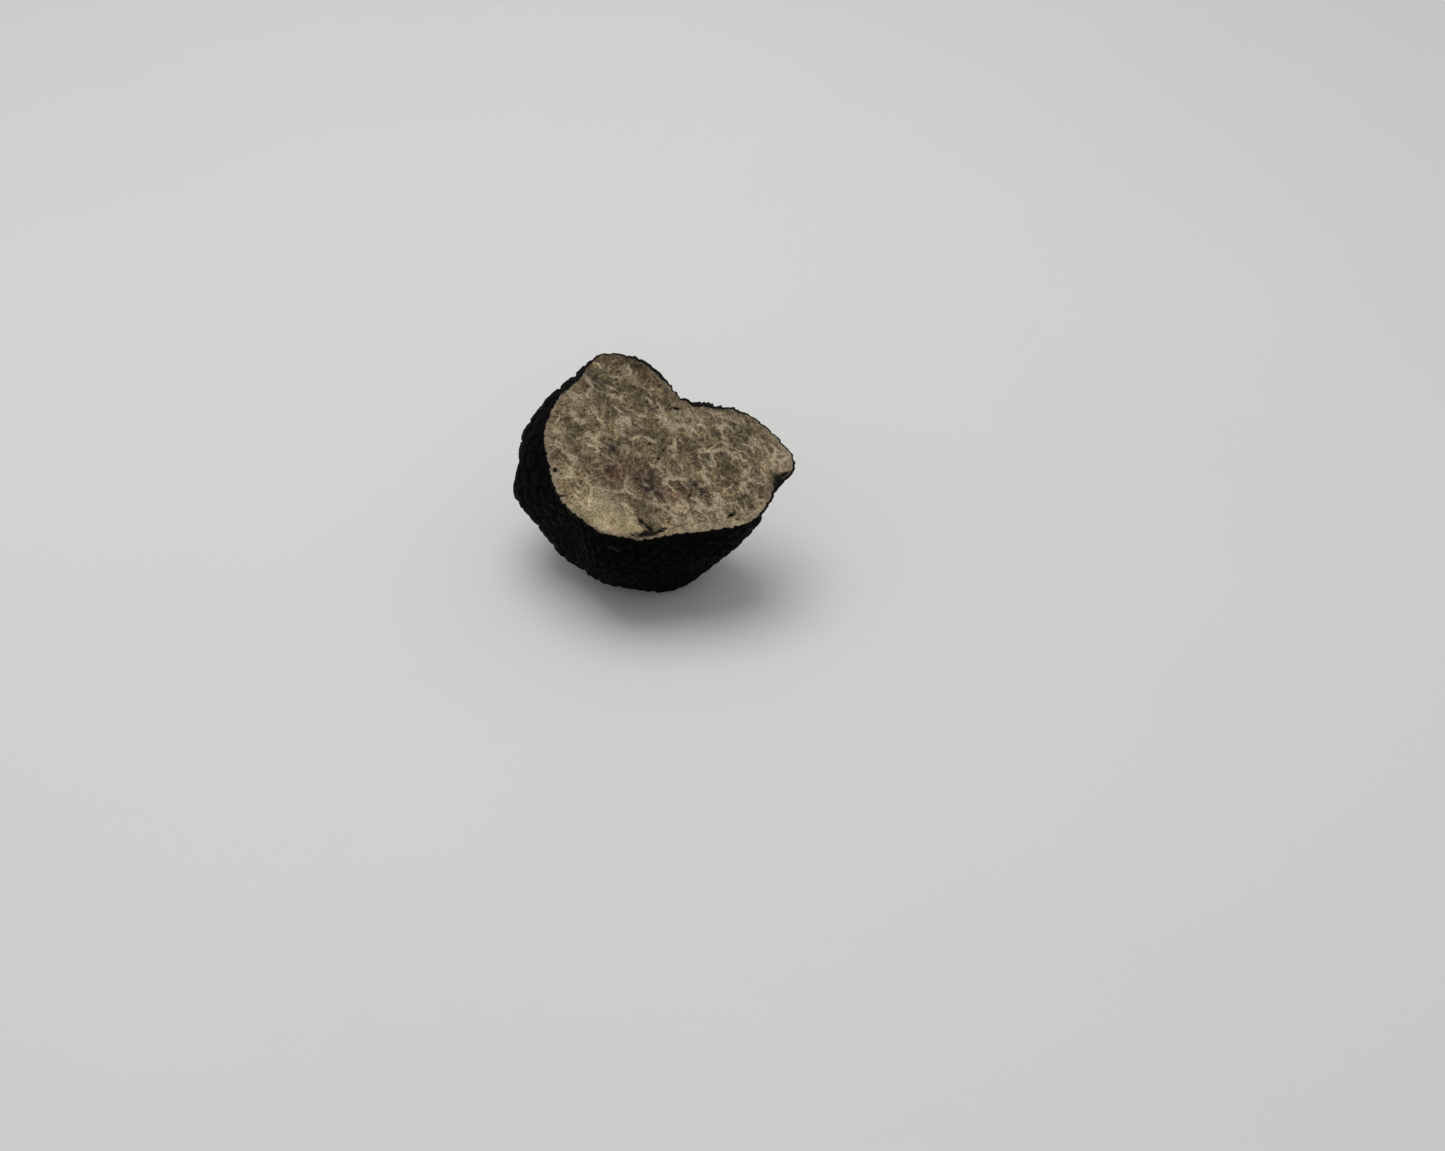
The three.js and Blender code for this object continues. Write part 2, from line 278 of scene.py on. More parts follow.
def noise(points, size, seed):
    """Smooth noise from -1 to 1 at points, with knots a size apart."""
    scaled = points / size + 1000
    low = np.floor(scaled).astype(np.int64)
    share = smooth(scaled - low)
    total = np.zeros(len(points))
    for corner in range(8):
        step = np.array([corner & 1, (corner >> 1) & 1, corner >> 2])
        knot = low + step
        mixed = (knot[:, 0] * 73856093) ^ (knot[:, 1] * 19349663) ^ (knot[:, 2] * 83492791)
        mixed = (mixed ^ (seed * 2654435761)) & 0xFFFFFFFF
        mixed = ((mixed ^ (mixed >> 15)) * 2246822519) & 0xFFFFFFFF
        mixed = ((mixed ^ (mixed >> 13)) * 3266489917) & 0xFFFFFFFF
        value = ((mixed ^ (mixed >> 16)) & 0xFFFFFFFF) / 2147483648 - 1
        weight = np.prod(np.where(step == 1, share, 1 - share), axis=1)
        total += weight * value
    return total


def fractal(points, size, seed, octaves=3):
    total = sum(noise(points, size / 2**k, seed + k) / 2**k for k in range(octaves))
    return total / sum(1 / 2**k for k in range(octaves))


def nearest_two(points, middles):
    """Each point's distance to its nearest two middles, and how far apart those two are."""
    tree = kdtree.KDTree(len(middles))
    for i, middle in enumerate(middles):
        tree.insert(middle, i)
    tree.balance()
    found = [tree.find_n(point, 2) for point in points]
    near, after = (np.array([pair[k][2] for pair in found]) for k in (0, 1))
    first, second = (np.array([pair[k][1] for pair in found]) for k in (0, 1))
    return near, after, np.linalg.norm(middles[first] - middles[second], axis=1)


def distance_to(points, others):
    tree = kdtree.KDTree(len(others))
    for i, other in enumerate(others):
        tree.insert(other, i)
    tree.balance()
    return np.array([tree.find(point)[2] for point in points])


# The body


def rim_radii():
    """The rim's radius at each degree of bearing, from a closed smooth curve through RIM."""
    points = np.array(RIM)
    t = (np.arange(STEPS_PER_RIM_POINT) / STEPS_PER_RIM_POINT)[:, None]
    pieces = []
    for i in range(len(points)):
        p0, p1, p2, p3 = (points[(i + k) % len(points)] for k in (-1, 0, 1, 2))
        bend = (2 * p0 - 5 * p1 + 4 * p2 - p3) * t**2 + (3 * (p1 - p2) + p3 - p0) * t**3
        pieces.append((2 * p1 + (p2 - p0) * t + bend) / 2)
    ring = np.concatenate(pieces)
    bearings = np.degrees(np.arctan2(ring[:, 1], ring[:, 0])) % 360
    order = np.argsort(bearings)
    radii = np.hypot(ring[:, 0], ring[:, 1])
    return np.interp(np.arange(360), bearings[order], radii[order], period=360)


def healed_radii(radii):
    """The same radii averaged to each side: the outline without its notch."""
    reach = np.arange(-SMOOTHING_DEG, SMOOTHING_DEG + 1)
    weights = 1 + np.cos(np.pi * reach / (SMOOTHING_DEG + 1))
    return sum(w * np.roll(radii, -k) for w, k in zip(weights, reach)) / weights.sum()


RADII = rim_radii()
HEALED = healed_radii(RADII)
DOWN = np.array([LEAN_RIGHT, LEAN_BACK, -1.0])
DOWN /= np.linalg.norm(DOWN)
UP_SLOPE = np.array([0, math.cos(CUT_TILT), math.sin(CUT_TILT)])
OUT_OF_CUT = np.array([0, -math.sin(CUT_TILT), math.cos(CUT_TILT)])


def swell(bearing):
    total = np.full(len(bearing), SWELL_ALL_ROUND)
    for middle, reach, height in SWELLS:
        off = np.abs((bearing - middle + 540) % 360 - 180)
        total += np.where(off < reach, height * (1 + np.cos(np.pi * off / reach)) / 2, 0)
    return total


def bearing_and_drop(directions):
    bearing = np.degrees(np.arctan2(directions[:, 1], directions[:, 0])) % 360
    drop = np.degrees(np.arcsin(np.clip(-directions[:, 2], 0, 1)))
    return bearing, drop


def up_slope(drop):
    tilt = CUT_TILT * (1 - smooth(drop / SLOPE_GONE_DEG))
    return np.stack([np.zeros_like(tilt), np.cos(tilt), np.sin(tilt)], axis=1)


def way_out(directions, drop):
    out = directions[:, :1] * [1, 0, 0] + directions[:, 1:2] * up_slope(drop)
    out = out + np.maximum(0, -directions[:, 2:]) * DOWN
    return out / np.linalg.norm(out, axis=1, keepdims=True)


def smooth_body(directions):
    bearing, drop = bearing_and_drop(directions)
    fade = smooth(drop / NOTCH_FADE_DEG)
    ring = np.arange(360)
    radius = np.interp(bearing, ring, RADII, period=360) * (1 - fade)
    radius += np.interp(bearing, ring, HEALED, period=360) * fade
    swelling = drop / SWELL_DROP_DEG * np.exp(1 - drop / SWELL_DROP_DEG)
    closing = np.maximum(np.cos(np.radians(drop)), 0)
    reach = radius * closing**WALL_POWER + swell(bearing) * swelling * closing
    across = np.hypot(directions[:, 0], directions[:, 1])
    across = np.where(across > 0, across, 1)
    right = (reach * directions[:, 0] / across)[:, None]
    up = (reach * directions[:, 1] / across)[:, None]
    deep = (BODY_DEPTH * np.sin(np.radians(drop)))[:, None]
    return CUT_CENTRE + right * [1, 0, 0] + up * up_slope(drop) + deep * DOWN


def spread_middles(count, draw):
    """Middles of warts, spread evenly round the body by a spiral and then shaken a little."""
    golden = math.pi * (3 - math.sqrt(5))
    shake = WART_JITTER * math.sqrt(4 * math.pi / count)
    directions = []
    for i in range(count):
        z = 1 - 2 * (i + 0.5) / count
        level = math.sqrt(1 - z * z)
        d = np.array([level * math.cos(golden * i), level * math.sin(golden * i), z])
        d += [shake * (draw() - 0.5) for _ in range(3)]
        directions.append(d / np.linalg.norm(d))
    directions = np.array(directions)
    return smooth_body(directions[directions[:, 2] < shake])


def lump_waves(draw):
    waves = []
    for _ in range(LUMP_COUNT):
        turn = 2 * math.pi * draw()
        rise = 2 * draw() - 1
        level = math.sqrt(1 - rise * rise)
        pace = 2 * math.pi / (LUMP_LENGTH * (0.7 + 0.6 * draw()))
        phase = 2 * math.pi * draw()
        way = np.array([level * math.cos(turn), level * math.sin(turn), rise])
        waves.append((way * pace, phase))
    return waves


def lump_height(points, drop, waves):
    share = smooth((drop - LUMP_START_DEG) / (LUMP_FULL_DEG - LUMP_START_DEG))
    return share * LUMP_HEIGHT * sum(np.sin(points @ way + phase) for way, phase in waves)


def wart_relief(points, middles):
    """The warts' height at points of the smooth body, and how far each point is from a furrow."""
    near, after, apart = nearest_two(points, middles)
    to_furrow = (after**2 - near**2) / (2 * apart)
    peak = WART_PEAK * (1 - near / apart)
    height = (WART_HEIGHT + peak) * smooth(to_furrow / FURROW_WIDTH) - WART_HEIGHT / 2
    crack = CRACK_DEPTH * (1 - smooth(to_furrow / CRACK_WIDTH))
    return height, crack, smooth(to_furrow / FURROW_WIDTH)


def scale_relief(points, draw):
    near, after, apart = nearest_two(points, spread_middles(SCALE_COUNT, draw))
    to_furrow = (after**2 - near**2) / (2 * apart)
    return SCALE_HEIGHT * (smooth(to_furrow / SCALE_FURROW) - 0.7)


def slight_swell(directions):
    """How high the slight swells stand, by the angle between a direction and each one's middle."""
    total = np.zeros(len(directions))
    for bearing, drop, height in SLIGHT_SWELLS:
        turn, down = math.radians(bearing), math.radians(drop)
        level = math.cos(down)
        middle = np.array([level * math.cos(turn), level * math.sin(turn), -math.sin(down)])
        away = np.degrees(np.arccos(np.clip(directions @ middle, -1, 1))) / SLIGHT_REACH_DEG
        total += height * np.exp(-(away**2))
    return total


def crumb_relief(points, draw):
    """Small crumbs along the rim, as bumps."""
    height = np.zeros(len(points))
    for first, last, count, tall in CRUMB_RUNS:
        for _ in range(count):
            bearing = math.radians(first + (last - first) * draw())
            drop = math.radians(2.5 * draw())
            level = math.cos(drop)
            way = [level * math.cos(bearing), level * math.sin(bearing), -math.sin(drop)]
            middle = smooth_body(np.array([way]))[0]
            radius = CRUMB_RADIUS * (0.6 + 0.7 * draw())
            share = tall * (0.4 + 0.6 * draw())
            away = np.linalg.norm(points - middle, axis=1) / radius
            height = np.maximum(height, share * np.exp(-(away**2)))
    return height


def body_surface(directions):
    """The finished rind, and how much painted shade its colour gets: from 0, darkest, in a furrow, to
    1, none, on a wart.
    """
    draw = random_from(SEED)
    waves = lump_waves(draw)
    warts = spread_middles(WART_COUNT, draw)
    _, drop = bearing_and_drop(directions)
    points = smooth_body(directions)
    height, crack, shade = wart_relief(points, warts)
    fine = scale_relief(points, draw) + GRAIN_HEIGHT * fractal(points, GRAIN_SIZE, 3) - crack
    near_rim = 1 - smooth(drop / RAG_REACH_DEG)
    rag = RAG_HEIGHT * fractal(points, RAG_SIZE, 11) * near_rim
    share = RIM_SHARE + (1 - RIM_SHARE) * smooth(drop / RIM_REACH_DEG)
    out = share * (height + fine) + lump_height(points, drop, waves) + rag
    out += crumb_relief(points, draw) + slight_swell(directions)
    points = points + way_out(directions, drop) * out[:, None]
    points[:, 2] = np.maximum(points[:, 2], 0)
    return points, shade


# The cut face


def ellipse(right, up, mark):
    """0 at the mark's middle and 1 on its edge."""
    x, y, half_length, half_width, turn = mark[:5]
    c, s = math.cos(math.radians(turn)), math.sin(math.radians(turn))
    dx, dy = right - x, up - y
    return np.hypot((dx * c + dy * s) / half_length, (dy * c - dx * s) / half_width)


def marks(right, up, listed, soft):
    """How strongly any of the listed marks covers each place, from 0 to 1."""
    cover = np.zeros(len(right))
    for mark in listed:
        cover = np.maximum(cover, 1 - smooth((ellipse(right, up, mark) - 1 + soft) / (2 * soft)))
    return cover


def stain_colours(right, up):
    """The stains' colour at each place, with how much it covers as alpha."""
    colours = np.zeros((len(right), 4))
    for stain in STAINS:
        name, strength = stain[5:]
        cover = strength * (1 - smooth((ellipse(right, up, stain) - 0.4) / 1.0))
        total = cover + colours[:, 3] * (1 - cover)
        share = cover / np.maximum(total, 1e-6)
        wanted = np.array(reflectance(name)[:3])
        colours[:, :3] = colours[:, :3] * (1 - share[:, None]) + wanted * share[:, None]
        colours[:, 3] = total
    return colours


def places_inside(rim, shares):
    """Right and up the slope, for a share of the way from the centre to each point of the rim."""
    flat = CUT_CENTRE + shares[:, None] * (rim - CUT_CENTRE)
    off = flat - CUT_CENTRE
    return off[:, 0], off @ UP_SLOPE


def cut_relief(points, right, up, from_rim):
    """How far each place of the cut stands out of the knife's plane."""
    height = CUT_WAVE_HEIGHT * fractal(points, CUT_WAVE_SIZE, 21)
    height += CUT_GRAIN_HEIGHT * fractal(points, CUT_GRAIN_SIZE, 31)
    height -= PIT_DEPTH * marks(right, up, PITS, 0.5)
    uneven = 0.7 + 0.5 * fractal(points, 0.5, 41)
    height -= CUT_CRACK_DEPTH * marks(right, up, CRACKS, 0.5) * uneven
    height += STREAK_HEIGHT * marks(right, up, STREAKS, 0.6)
    fall = EDGE_FALL * (1 + 0.5 * fractal(points, 0.9, 51))
    return height - fall * np.exp(-from_rim / EDGE_FALL_REACH)


# One closed mesh


def half_rows(rows):
    """Directions of the unit sphere's lower half, row by row from the rim to the lowest point."""
    corners = np.array([(1, 0), (0, 1), (-1, 0), (0, -1)])
    found = []
    for row in range(rows):
        per_side = rows - row
        k = np.arange(per_side)[:, None]
        for side in range(4):
            flat = corners[side] * (per_side - k) + corners[(side + 1) % 4] * k
            found.append(np.column_stack([flat, np.full(per_side, -row)]))
    found.append(np.array([(0, 0, -rows)]))
    directions = np.concatenate(found).astype(float)
    return directions / np.linalg.norm(directions, axis=1, keepdims=True)


def half_triangles(rows):
    """The triangles between those rows, facing out of the lower half."""
    triangles = []
    start = 0
    for n in range(rows, 0, -1):
        below = start + 4 * n
        k = np.arange(n)
        for side in range(4):
            a = start + side * n + k
            b = start + (side * n + k + 1) % (4 * n)
            c = below + ((side * (n - 1) + k) % (4 * (n - 1)) if n > 1 else 0 * k)
            triangles.append(np.stack([a, c, b], axis=1))
            before = below + side * (n - 1) + k - 1
            triangles.append(np.stack([a, before, c], axis=1)[1:])
        start = below
    return np.concatenate(triangles)


def rim_and_shares(rim, rows):
    """For each place of the cut face inside the rim: the rim point beyond it, and its share."""
    closed = np.concatenate([rim, rim[:1]])
    beyond, shares = [], []
    for row in range(1, rows):
        per_side = rows - row
        index = np.arange(4 * per_side) * rows / per_side
        low = np.floor(index).astype(int)
        part = (index - low)[:, None]
        beyond.append(closed[low] * (1 - part) + closed[low + 1] * part)
        shares.append(np.full(4 * per_side, per_side / rows))
    beyond.append(rim[:1])
    shares.append(np.zeros(1))
    return np.concatenate(beyond), np.concatenate(shares)


# Where the two islands lie on the texture: the cut face seen square on, and the body from below.
FACE_UV_MIDDLE = (0.285, 0.745)
FACE_UV_PER_MM = 0.0155
BODY_UV_MIDDLE = (0.735, 0.265)
BODY_UV_RADIUS = 0.26


def texture_places(mesh, directions, points, triangles, body_faces):
    bearing, drop = bearing_and_drop(directions)
    far = BODY_UV_RADIUS * (1 - drop / 90)
    angle = np.radians(bearing)
    body = np.stack([far * np.cos(angle), -far * np.sin(angle)], axis=1) + BODY_UV_MIDDLE
    off = points - CUT_CENTRE
    face = np.stack([off[:, 0], off @ UP_SLOPE], axis=1) * FACE_UV_PER_MM + FACE_UV_MIDDLE
    corners = np.empty((len(triangles), 3, 2))
    corners[:body_faces] = body[triangles[:body_faces]]
    corners[body_faces:] = face[triangles[body_faces:]]
    layer = mesh.uv_layers.new(name="OFBake")
    layer.data.foreach_set("uv", corners.reshape(-1))


def new_mesh(name, points, triangles):
    mesh = bpy.data.meshes.new(name)
    mesh.vertices.add(len(points))
    mesh.vertices.foreach_set("co", (points * MM).reshape(-1))
    mesh.loops.add(3 * len(triangles))
    mesh.loops.foreach_set("vertex_index", triangles.reshape(-1))
    mesh.polygons.add(len(triangles))
    mesh.polygons.foreach_set("loop_start", np.arange(0, 3 * len(triangles), 3))
    mesh.update(calc_edges=True)
    return mesh


def set_values(mesh, name, values):
    kind = "FLOAT" if values.ndim == 1 else "FLOAT_COLOR"
    layer = mesh.attributes.new(name, kind, "POINT")
    layer.data.foreach_set("value" if kind == "FLOAT" else "color", values.reshape(-1))


def cut_face(body):
    """The cut's points inside the rim, and how far each is from it. Moves the rim to meet them."""
    rim = body[: 4 * ROWS]
    beyond, shares = rim_and_shares(rim, ROWS)
    right, up = places_inside(beyond, shares)
    flat = CUT_CENTRE + right[:, None] * [1, 0, 0] + up[:, None] * UP_SLOPE
    from_rim = distance_to(flat, rim)
    edge = rim - CUT_CENTRE
    rim_height = cut_relief(rim, edge[:, 0], edge @ UP_SLOPE, np.zeros(len(rim)))
    body[: 4 * ROWS] += rim_height[:, None] * OUT_OF_CUT
    return flat + cut_relief(flat, right, up, from_rim)[:, None] * OUT_OF_CUT, from_rim


def closed_triangles(body_count):
    """The rind's triangles, and the cut face's, which share the rim's points."""
    rind = half_triangles(ROWS)
    flesh = rind[:, ::-1]
    return rind, np.where(flesh < 4 * ROWS, flesh, flesh - 4 * ROWS + body_count)


def shaken(places, points, waves, reach, size, seed):
    """Right and up, shaken by those waves, so that what is drawn there gets an uneven outline."""
    right, up = places
    return right + reach * waves(points, size, seed), up + reach * waves(points, size, seed + 10)


def paint_edge(mesh, points, places, from_rim):
    """How far each point is inside the dark border, and how brown or pale the flesh is there."""
    right, up = places
    bearing = np.degrees(np.arctan2(up, right)) % 360
    angles, *columns = zip(*EDGE)
    width, brown, pale = (np.interp(bearing, angles, column, period=360) for column in columns)
    width *= 1 + 0.3 * fractal(points, 0.9, 81)
    inside = from_rim - width
    uneven = 1 + 0.5 * fractal(points, 1.5, 91)
    set_values(mesh, "inside_mm", inside)
    set_values(mesh, "brown_edge", brown * (1 - smooth(inside / (BROWN_REACH * uneven))))
    set_values(mesh, "pale_edge", pale * (1 - smooth(inside / (PALE_REACH * uneven))))


def paint_marks(mesh, points, places, on_cut):
    wandering = shaken(places, points, fractal, 0.45, 1.3, 61)
    wandering = shaken(wandering, points, noise, 0.5, 4.0, 65)
    set_values(mesh, "stain", stain_colours(*wandering))
    set_values(mesh, "pale", marks(*wandering, STREAKS, 0.8) * on_cut)
    # Painted shade: the pits and cracks cut into the face are coloured near black.
    near = shaken(places, points, noise, 0.2, 0.7, 85)
    set_values(mesh, "pit_shade", marks(*near, PITS + CRACKS, 0.4) * on_cut)
    blurred = shaken(places, points, fractal, 0.35, 1.0, 105)
    set_values(mesh, "smudge", marks(*blurred, SMUDGES, 0.9) * on_cut)


def truffle_piece():
    directions = half_rows(ROWS)
    body, shade = body_surface(directions)
    face, from_rim = cut_face(body)
    rind, flesh = closed_triangles(len(body))
    points = np.concatenate([body, face])
    triangles = np.concatenate([rind, flesh])
    mesh = new_mesh("truffle_half", points, triangles)
    mesh.polygons.foreach_set("material_index", np.repeat([0, 1], [len(rind), len(flesh)]))
    mesh.shade_smooth()
    all_directions = np.concatenate([directions, np.zeros_like(face)])
    texture_places(mesh, all_directions, points, triangles, len(rind))

    off = points - CUT_CENTRE
    places = off[:, 0], off @ UP_SLOPE
    paint_edge(mesh, points, places, np.concatenate([np.zeros(len(body)), from_rim]))
    # Painted shade: the rind's colour darkens towards its furrows; the cut face gets none.
    set_values(mesh, "shade", np.concatenate([shade, np.ones(len(face))]))
    paint_marks(mesh, points, places, np.arange(len(points)) >= len(body))

    piece = bpy.data.objects.new("truffle_half", mesh)
    bpy.context.scene.collection.objects.link(piece)
    piece.data.materials.append(rind_material())
    piece.data.materials.append(flesh_material())
    return piece


# Materials


class Shader:
    """A short way to write a material: each call adds one node and gives back its output."""

    def __init__(self, name):
        self.material = bpy.data.materials.new(name)
        self.material.use_nodes = True
        self.tree = self.material.node_tree
        self.surface = self.tree.nodes["Principled BSDF"]

    def node(self, kind, inputs, output=0, **settings):
        made = self.tree.nodes.new("ShaderNode" + kind)
        for name, value in settings.items():
            setattr(made, name, value)
        for socket, value in inputs.items():
            self.put(made.inputs[socket], value)
        return made.outputs[output]

    def put(self, socket, value):
        if isinstance(value, bpy.types.NodeSocket):
            self.tree.links.new(value, socket)
        else:
            socket.default_value = value

    def set(self, name, value):
        self.put(self.surface.inputs[name], value)

    def maths(self, operation, a, b=0.0, c=0.0):
        return self.node("Math", {0: a, 1: b, 2: c}, operation=operation)

    def vector(self, operation, a, b=None, output=0, **inputs):
        given = {0: a} if b is None else {0: a, 1: b}
        return self.node("VectorMath", given | inputs, output, operation=operation)

    def value(self, name):
        return self.node("Attribute", {}, "Fac", attribute_name=name)

    def noise(self, place, size, detail=2.0, roughness=0.5, output="Fac"):
        inputs = {"Vector": place, "Scale": 1 / size, "Detail": detail, "Roughness": roughness}
        return self.node("TexNoise", inputs, output)

    def cell_edges(self, place, size):
        """Distance to the nearest edge between cells of that size, in the place's own units."""
        inputs = {"Vector": place, "Scale": 1 / size}
        found = self.node("TexVoronoi", inputs, feature="DISTANCE_TO_EDGE")
        return self.maths("MULTIPLY", found, size)

    def cells(self, place, size):
        """A number from 0 to 1 for each cell of that size."""
        colour = self.node("TexVoronoi", {"Vector": place, "Scale": 1 / size}, "Color")
        return self.node("SeparateXYZ", {"Vector": colour})

    def scaled(self, colour, share):
        return self.vector("SCALE", colour, Scale=share)

    def ramp(self, value, low, high, start=0.0, end=1.0):
        inputs = {0: value, 1: low, 2: high, 3: start, 4: end}
        return self.node("MapRange", inputs, interpolation_type="SMOOTHSTEP")

    def mix(self, share, a, b):
        return self.node("Mix", {0: share, 6: a, 7: b}, 2, data_type="RGBA")

    def millimetres(self):
        place = self.node("TexCoord", {}, "Object")
        return self.vector("SCALE", place, Scale=1 / MM)

    def bump(self, height, distance, strength, before=None):
        inputs = {"Strength": strength, "Distance": distance * MM, "Height": height}
        if before is not None:
            inputs["Normal"] = before
        return self.node("Bump", inputs)


def rind_colour(s, place, shade):
    """Near black, with painted shade that makes it darkest in the furrows and lighter on the wart
    tops, and a brown cast here and there.
    """
    patches = s.ramp(s.noise(place, 5.0, 3.0), 0.45, 0.72)
    top = s.mix(patches, reflectance("rind"), reflectance("rind_brown"))
    worn = s.ramp(s.noise(place, 0.35, 3.0), 0.3, 0.75, 0.35, 1.0)
    # Painted shade: the lighter top colour gives way to near black in the furrows.
    lit = s.maths("MULTIPLY", s.ramp(shade, 0.2, 1.0), worn)
    return s.mix(lit, reflectance("rind_in_painted_shade"), top)


def scuff_share(s, place):
    """How much of the rind is scuffed at a place: one short, ragged streak."""
    offset = s.vector("SUBTRACT", place, SCUFF_PLACE)
    along = s.vector("DOT_PRODUCT", offset, SCUFF_WAY, 1)
    taken = s.vector("SCALE", SCUFF_WAY, Scale=s.maths("MULTIPLY", along, SCUFF_STRETCH))
    away = s.vector("LENGTH", s.vector("SUBTRACT", offset, taken), output=1)
    ragged = s.ramp(s.noise(place, 0.3, 2.0), 0.3, 0.7, -0.1, 0.1)
    return s.ramp(s.maths("ADD", away, ragged), 0.5 * SCUFF_HALF_WIDTH, SCUFF_HALF_WIDTH, 1.0, 0.0)


def rind_material():
    s = Shader("rind")
    place = s.millimetres()
    colour = rind_colour(s, place, s.value("shade"))
    s.set("Base Color", s.mix(scuff_share(s, place), colour, reflectance("scuff")))
    s.set("Roughness", s.ramp(s.noise(place, 0.6, 3.0), 0.3, 0.7, 0.45, 0.8))
    s.set("Specular IOR Level", 0.04)
    grains = s.bump(s.noise(place, 0.22, 4.0, 0.6), 0.10, 0.7)
    cracks = s.ramp(s.cell_edges(place, 0.42), 0.0, 0.07)
    s.set("Normal", s.bump(cracks, 0.07, 0.5, grains))
    return s.material


def cut_place(s):
    """Millimetres right, up the slope and out of the cut, from its centre."""
    place = s.vector("SUBTRACT", s.millimetres(), tuple(CUT_CENTRE))
    return s.node(
        "VectorRotate", {"Vector": place, "Angle": -CUT_TILT}, rotation_type="X_AXIS"
    )


def bent(s, place, size, reach):
    """The place shaken by smooth noise, so that straight edges wander."""
    shake = s.vector("SUBTRACT", s.noise(place, size, 3.0, 0.6, "Color"), (0.5, 0.5, 0.5))
    return s.vector("ADD", place, s.vector("SCALE", shake, Scale=reach))


def along_veins(s, place):
    """The place turned so that X runs down to the right, as the veins do, and X made shorter."""
    turned = s.node(
        "VectorRotate", {"Vector": place, "Angle": VEIN_TURN}, rotation_type="Z_AXIS"
    )
    return s.vector("MULTIPLY", turned, VEIN_STRETCH)


def vein_lines(s, place, size, width, broken, strength):
    """Lines of that width between cells of that size, fading in and out along their way."""
    line = s.ramp(s.cell_edges(place, size), 0.0, width, 1.0, 0.0)
    kept = s.ramp(s.noise(place, broken, 2.0), 0.40, 0.62, 0.0, strength)
    return s.maths("MULTIPLY", line, kept)


def wisps(s, place, size, width, broken, strength):
    """Winding lines where a noise crosses its middle value. They swell, thin out and fade."""
    off_middle = s.maths("ABSOLUTE", s.maths("SUBTRACT", s.noise(place, size, 1.0), 0.5))
    line = s.ramp(off_middle, 0.0, width, 1.0, 0.0)
    kept = s.ramp(s.noise(place, broken, 2.0), 0.40, 0.60, 0.0, strength)
    return s.maths("MULTIPLY", line, kept)


def flesh_colour(s, place):
    """Stained tissue in cells and blotches, with its pale veins. Gives the veins and blotches too."""
    bent_place = bent(s, place, 1.4, 1.5)
    drawn = along_veins(s, bent(s, place, 1.7, 1.8))
    stain = s.node("Attribute", {}, "Color", attribute_name="stain")
    cover = s.node("Attribute", {}, "Alpha", attribute_name="stain")
    kept = s.ramp(s.noise(bent_place, 1.1, 3.0, 0.65), 0.36, 0.58, 0.55, 1.0)
    colour = s.mix(s.maths("MULTIPLY", cover, kept), reflectance("tissue"), stain)

    # Light and dark parts: patches, the cells between the veins, blotches and a mottling,
    # all weaker where a stain is pale.
    blotch = s.noise(bent_place, BLOTCH_SIZE, 3.0, 0.65)
    patches = s.ramp(s.noise(bent_place, PATCH_SIZE, 2.0), 0.3, 0.7, 0.80, 1.2)
    cells = s.node("MapRange", {0: s.cells(drawn, CELL_SIZE), 3: 0.56, 4: 1.34})
    blotches = s.ramp(blotch, 0.36, 0.62, 0.53, 1.30)
    mottling = s.ramp(s.noise(place, MOTTLE_SIZE, 2.0, 0.55), 0.34, 0.64, 0.60, 1.32)
    tone = s.maths("MULTIPLY", s.maths("MULTIPLY", patches, cells), blotches)
    tone = s.maths("MULTIPLY", tone, mottling)
    calm = s.maths("MULTIPLY", cover, s.ramp(stain, 0.18, 0.28, 0.0, 0.65))
    tone = s.maths("MULTIPLY_ADD", calm, s.maths("SUBTRACT", 1.0, tone), tone)
    colour = s.scaled(colour, tone)

    # Wisps, fainter on the left, a fine net here and there, wide veins, and the listed ones.
    on_right = s.ramp(s.node("SeparateXYZ", {"Vector": place}), -3.0, 7.0)
    veined = s.ramp(s.noise(place, 4.5, 1.0), 0.38, 0.60, 0.35, 1.0)
    main = wisps(s, drawn, WISP_SIZE, WISP_WIDTH, 1.7, 1.0)
    main = s.maths("MULTIPLY", main, s.maths("MULTIPLY_ADD", on_right, 0.55, 0.45))
    net = vein_lines(s, bent_place, NET_SIZE, NET_WIDTH, 1.2, 0.5)
    fine = s.maths("MULTIPLY", net, veined)
    wide = vein_lines(s, drawn, VEIN_CELL_SIZE, VEIN_WIDTH, 1.8, 0.9)
    placed = s.maths("MULTIPLY", s.value("pale"), s.ramp(blotch, 0.3, 0.6, 0.45, 1.0))
    veins = s.maths("MAXIMUM", s.maths("MAXIMUM", main, fine), s.maths("MAXIMUM", wide, placed))
    lighter = s.mix(0.65, s.scaled(colour, 1.6), reflectance("vein"))
    return s.mix(veins, colour, lighter), veins, blotch


